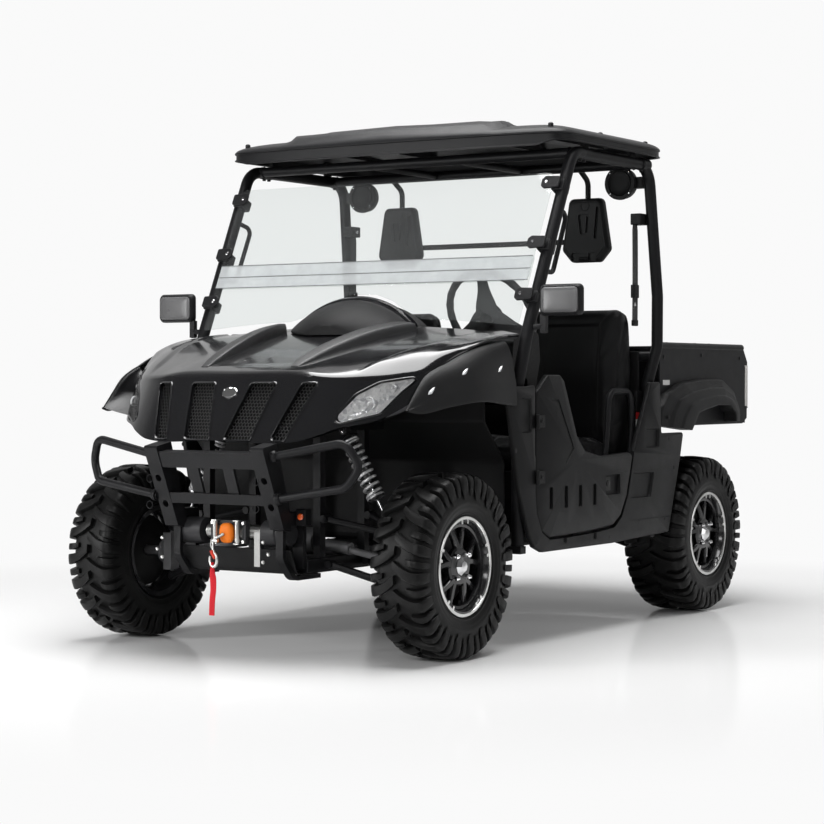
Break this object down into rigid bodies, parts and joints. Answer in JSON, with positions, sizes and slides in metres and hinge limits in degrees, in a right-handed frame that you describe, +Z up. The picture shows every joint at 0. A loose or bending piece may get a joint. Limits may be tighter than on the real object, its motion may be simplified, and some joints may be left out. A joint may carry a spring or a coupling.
{
  "type": "side by side utility vehicle",
  "caption": "Black side by side utility vehicle with mud tyres, hard roof, fold-down style windshield, half doors, brush guard with winch and a tipping load bed",
  "frame": {"origin": "On the ground under the middle of the vehicle: half way between the tyres and half way along the length from the brush guard to the load bed", "axes": "+X is the vehicle's left side, +Y is its rear so it faces -Y, +Z is up from the ground"},
  "size_m": [1.896, 2.895, 1.922],
  "materials": {
    "frame_black": "satin",
    "moulded_black": "matte",
    "gloss_black": "gloss",
    "mesh_black": "satin",
    "lamp_clear": "gloss",
    "flare_black": "satin",
    "winch_steel": "satin",
    "strap_red": "matte",
    "grip_black": "matte",
    "seat_vinyl": "satin",
    "cast_grey": "matte",
    "bare_steel": "satin",
    "roof_charcoal": "matte",
    "clear_sheet": "gloss",
    "spring_silver": "gloss",
    "belt_webbing": "matte",
    "door_black": "satin",
    "bed_black": "satin",
    "lamp_red": "gloss",
    "tyre_rubber": "matte",
    "wheel_alloy": "gloss"
  },
  "bodies": {
    "chassis": {"frame": "frame_black", "suspension_towers": "frame_black", "skid_plate": "moulded_black", "cab_tub": "moulded_black", "side_panels": "moulded_black", "hood": "gloss_black", "nose": "gloss_black", "grille_mesh": "mesh_black", "headlights": "lamp_clear", "front_flares": "flare_black", "brush_guard": "frame_black", "winch": "winch_steel", "pull_strap": "strap_red", "dash": "moulded_black", "seat_base": "moulded_black", "seats": "seat_vinyl", "headrests": "seat_vinyl", "engine": "cast_grey", "exhaust": "bare_steel", "roll_cage": "frame_black", "roof": "roof_charcoal", "windshield": "clear_sheet", "speakers": "moulded_black", "mirrors": "moulded_black", "suspension_arms": "frame_black", "shocks": "spring_silver", "axle_shafts": "bare_steel", "seat_belts": "belt_webbing"},
    "steering_wheel": {"steering_wheel": "grip_black"},
    "knuckle_left": {"knuckle_left": "cast_grey"},
    "knuckle_right": {"knuckle_right": "cast_grey"},
    "wheel_front_left": {"tyre_front_left": "tyre_rubber", "rim_front_left": "wheel_alloy"},
    "wheel_front_right": {"tyre_front_right": "tyre_rubber", "rim_front_right": "wheel_alloy"},
    "wheel_rear_left": {"tyre_rear_left": "tyre_rubber", "rim_rear_left": "wheel_alloy"},
    "wheel_rear_right": {"tyre_rear_right": "tyre_rubber", "rim_rear_right": "wheel_alloy"},
    "door_left": {"door_left": "door_black"},
    "door_right": {"door_right": "door_black"},
    "bed": {"bed": "bed_black", "bed_flares": "flare_black", "tail_lights": "lamp_red"},
    "tailgate": {"tailgate": "bed_black"}
  },
  "joints": [
    {"name": "steering", "type": "hinge", "parent": "chassis", "child": "steering_wheel", "pos_m": [0.4, -0.2125, 1.192], "axis": [0, 0.8887, 0.4584], "range_deg": [-270, 270]},
    {"name": "steer_left", "type": "hinge", "parent": "chassis", "child": "knuckle_left", "pos_m": [0.52, -0.9675, 0.3175], "axis": [0, 0, 1], "range_deg": [-25.5, 25.5]},
    {"name": "steer_right", "type": "hinge", "parent": "chassis", "child": "knuckle_right", "pos_m": [-0.52, -0.9675, 0.3175], "axis": [0, 0, 1], "range_deg": [-25.5, 25.5]},
    {"name": "wheel_front_left", "type": "hinge", "parent": "knuckle_left", "child": "wheel_front_left", "pos_m": [0.6595, -0.9675, 0.3175], "axis": [1, 0, 0], "continuous": true},
    {"name": "wheel_front_right", "type": "hinge", "parent": "knuckle_right", "child": "wheel_front_right", "pos_m": [-0.6595, -0.9675, 0.3175], "axis": [1, 0, 0], "continuous": true},
    {"name": "wheel_rear_left", "type": "hinge", "parent": "chassis", "child": "wheel_rear_left", "pos_m": [0.635, 0.9475, 0.3175], "axis": [1, 0, 0], "continuous": true},
    {"name": "wheel_rear_right", "type": "hinge", "parent": "chassis", "child": "wheel_rear_right", "pos_m": [-0.635, 0.9475, 0.3175], "axis": [1, 0, 0], "continuous": true},
    {"name": "door_left", "type": "hinge", "parent": "chassis", "child": "door_left", "pos_m": [0.7535, -0.4835, 0.7], "axis": [0, 0, -1], "range_deg": [0, 70]},
    {"name": "door_right", "type": "hinge", "parent": "chassis", "child": "door_right", "pos_m": [-0.7535, -0.4835, 0.7], "axis": [0, 0, 1], "range_deg": [0, 70]},
    {"name": "bed_tilt", "type": "hinge", "parent": "chassis", "child": "bed", "pos_m": [0, 1.1825, 0.72], "axis": [-1, 0, 0], "range_deg": [0, 40]},
    {"name": "tailgate", "type": "hinge", "parent": "bed", "child": "tailgate", "pos_m": [0, 1.4345, 0.792], "axis": [-1, 0, 0], "range_deg": [0, 90]}
  ],
  "couplings": [
    {"joint": "steer_left", "follows": "steering", "ratio": 0.0925},
    {"joint": "steer_right", "follows": "steering", "ratio": 0.0925}
  ]
}
